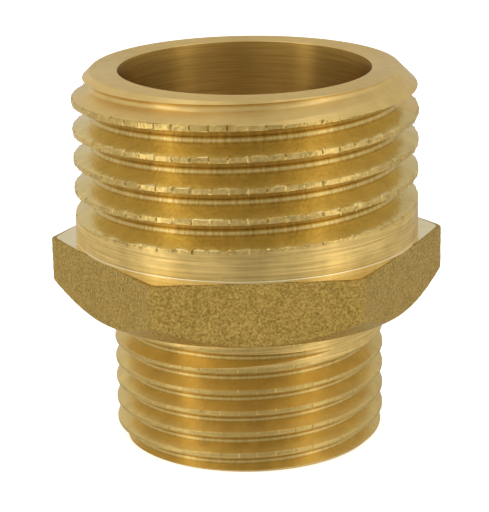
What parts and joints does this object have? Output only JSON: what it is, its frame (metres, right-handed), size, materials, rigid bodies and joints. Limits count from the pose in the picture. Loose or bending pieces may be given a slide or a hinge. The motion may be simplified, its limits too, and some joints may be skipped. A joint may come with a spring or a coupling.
{
  "type": "hex nipple",
  "caption": "Short brass reducing nipple: a spanner hexagon between a wide and a narrow male pipe thread, with a stepped bore right through.",
  "frame": {"origin": "centre of the lower (smaller) end face, on the pipe axis", "axes": "+Z along the pipe axis from the smaller end to the larger end; +X through one corner of the hexagon"},
  "size_m": [0.024, 0.021, 0.023],
  "materials": {
    "brass": "machined threads and bore, hexagon left with a fine matte grain"
  },
  "bodies": {
    "root": {"nipple_body": "brass"}
  },
  "joints": []
}
